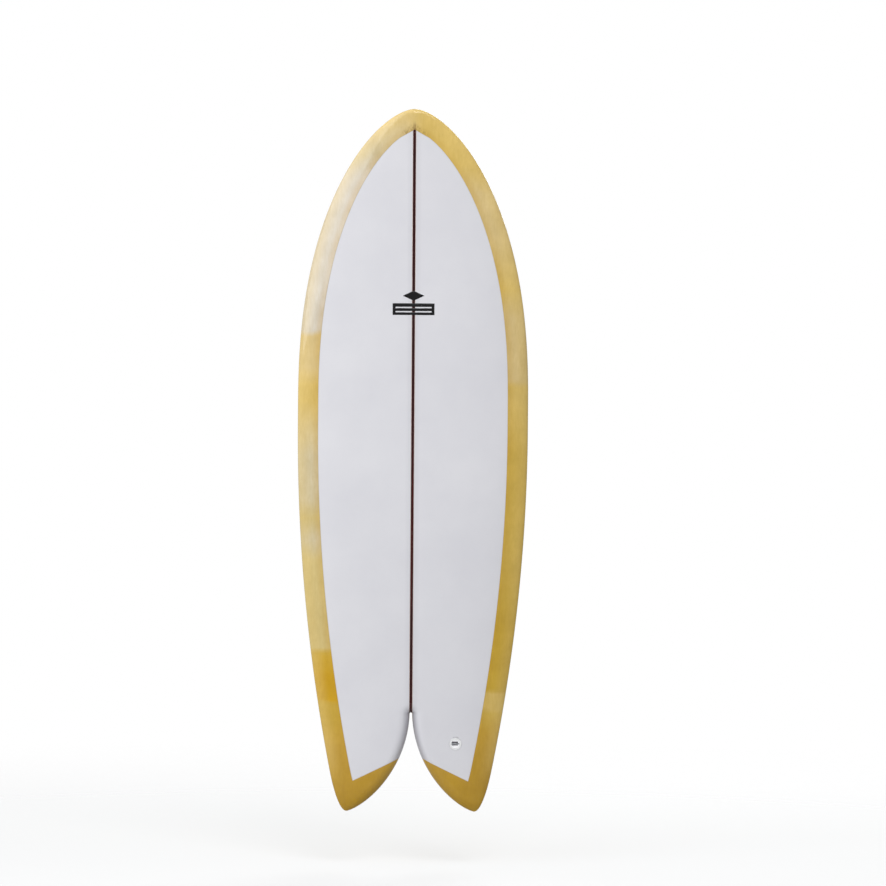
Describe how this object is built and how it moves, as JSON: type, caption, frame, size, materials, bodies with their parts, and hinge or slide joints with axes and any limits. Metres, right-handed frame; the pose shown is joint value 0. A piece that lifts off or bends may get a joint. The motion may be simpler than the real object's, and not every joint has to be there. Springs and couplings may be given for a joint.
{
  "type": "surfboard",
  "caption": "Short wide fish surfboard: pointed round nose, deep swallow tail, foam core on a wooden stringer, tinted glass wrapped over the rails, leash plug, keel fins in boxes.",
  "frame": {"origin": "on the level of the tail tips, in the middle of the width and of the overall depth", "axes": "+Z from the tail to the nose, -Y out of the deck, +Y out of the bottom where the fins stand, X across"},
  "size_m": [0.552, 0.2238, 1.676],
  "materials": {
    "foam": "sanded white polyurethane foam",
    "stringer_wood": "dark wood under clear glass",
    "amber_glass": "amber tinted polyester resin, glossed",
    "clear_glass": "clear resin over white foam, glossed",
    "mark": "black print under clear resin",
    "plug": "white moulded",
    "steel": "stainless",
    "box": "off-white moulded, sanded flush",
    "fin_glass": "amber glass fibre laminate",
    "fin_wood": "plywood under clear glass"
  },
  "bodies": {
    "board": {"foam_left": "foam", "foam_right": "foam", "stringer": "stringer_wood", "bottom_lamination": "amber_glass", "deck_lamination": "clear_glass", "deck_mark_upper": "mark", "deck_mark_lower": "mark", "leash_plug_cup": "plug", "leash_plug_bar": "steel", "fin_box_left": "box", "fin_box_right": "box"},
    "fin_left": {"fin_base_left": "fin_glass", "fin_rim_left": "fin_glass", "fin_panel_left": "fin_wood"},
    "screw_left_front": {"screw_left_front": "steel"},
    "screw_left_rear": {"screw_left_rear": "steel"},
    "fin_right": {"fin_base_right": "fin_glass", "fin_rim_right": "fin_glass", "fin_panel_right": "fin_wood"},
    "screw_right_front": {"screw_right_front": "steel"},
    "screw_right_rear": {"screw_right_rear": "steel"}
  },
  "joints": [
    {"name": "fin_left_slide", "type": "slide", "parent": "board", "child": "fin_left", "axis": [0, 0.9975, -0.0708], "range_m": [0, 0.018]},
    {"name": "screw_left_front_turn", "type": "hinge", "parent": "board", "child": "screw_left_front", "pos_m": [-0.18627, -0.01046, 0.30526], "axis": [-0.5, 0.8643, -0.0544], "range_deg": [0, 720]},
    {"name": "screw_left_rear_turn", "type": "hinge", "parent": "board", "child": "screw_left_rear", "pos_m": [-0.18753, -0.01683, 0.21549], "axis": [-0.5, 0.8643, -0.0544], "range_deg": [0, 720]},
    {"name": "fin_right_slide", "type": "slide", "parent": "board", "child": "fin_right", "axis": [0, 0.9975, -0.0708], "range_m": [0, 0.018]},
    {"name": "screw_right_front_turn", "type": "hinge", "parent": "board", "child": "screw_right_front", "pos_m": [0.18627, -0.01046, 0.30526], "axis": [0.5, 0.8643, -0.0544], "range_deg": [0, 720]},
    {"name": "screw_right_rear_turn", "type": "hinge", "parent": "board", "child": "screw_right_rear", "pos_m": [0.18753, -0.01683, 0.21549], "axis": [0.5, 0.8643, -0.0544], "range_deg": [0, 720]}
  ]
}
